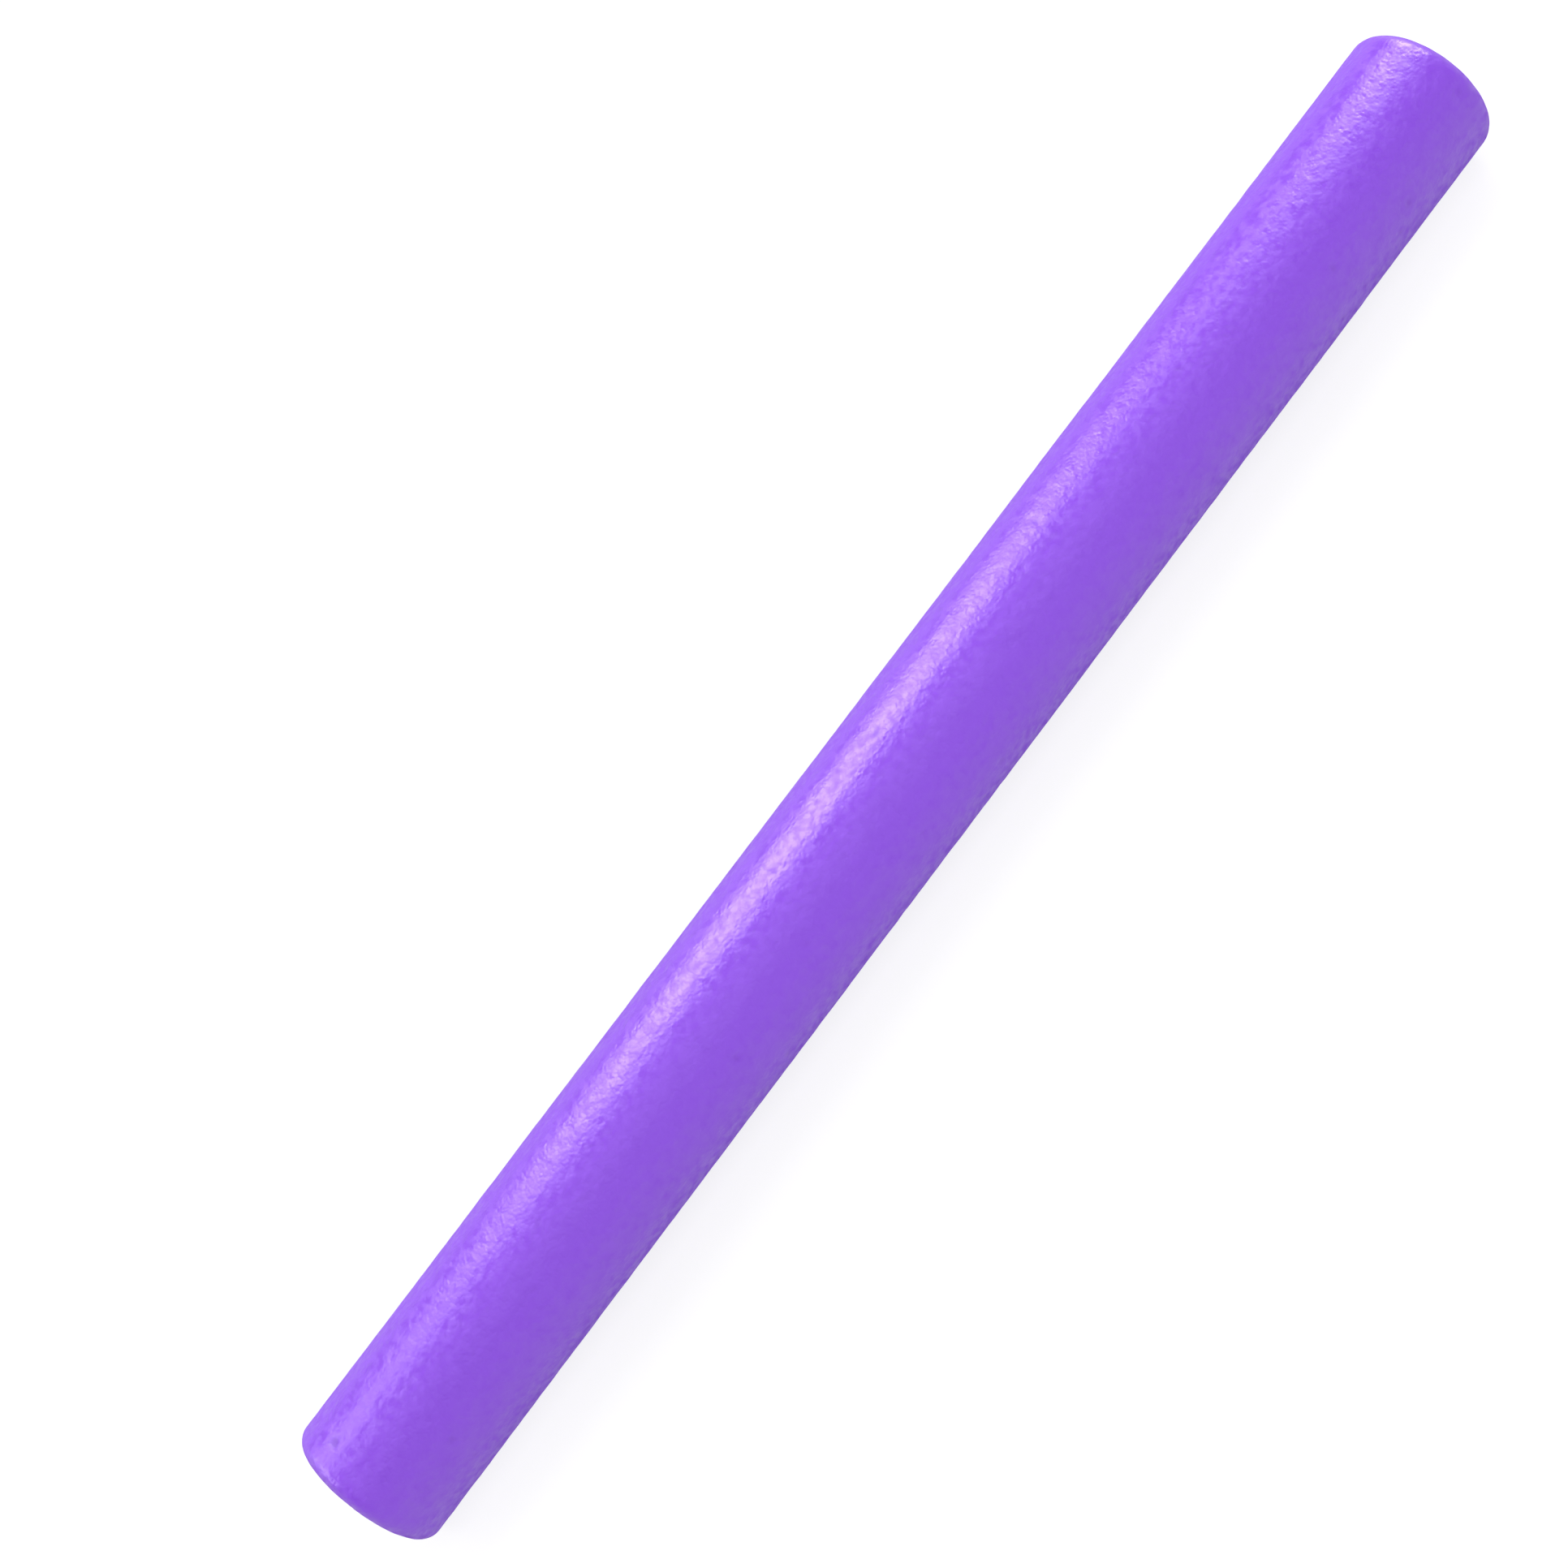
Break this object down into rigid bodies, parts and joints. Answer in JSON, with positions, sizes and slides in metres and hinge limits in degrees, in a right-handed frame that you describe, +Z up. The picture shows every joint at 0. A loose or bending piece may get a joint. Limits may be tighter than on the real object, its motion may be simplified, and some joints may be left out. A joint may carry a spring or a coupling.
{
  "type": "pool noodle",
  "caption": "Jumbo pool noodle: a straight, round tube of closed-cell foam with softly rounded ends and a bore through its whole length.",
  "frame": {"origin": "on the floor, under the middle of the tube as it lies", "axes": "+X along the tube, +Y across it, +Z up"},
  "size_m": [1.22, 0.113, 0.1125],
  "materials": {
    "foam": "smooth extruded skin on closed-cell polyethylene foam, with a soft satin sheen"
  },
  "bodies": {
    "root": {"foam_tube": "foam"}
  },
  "joints": []
}
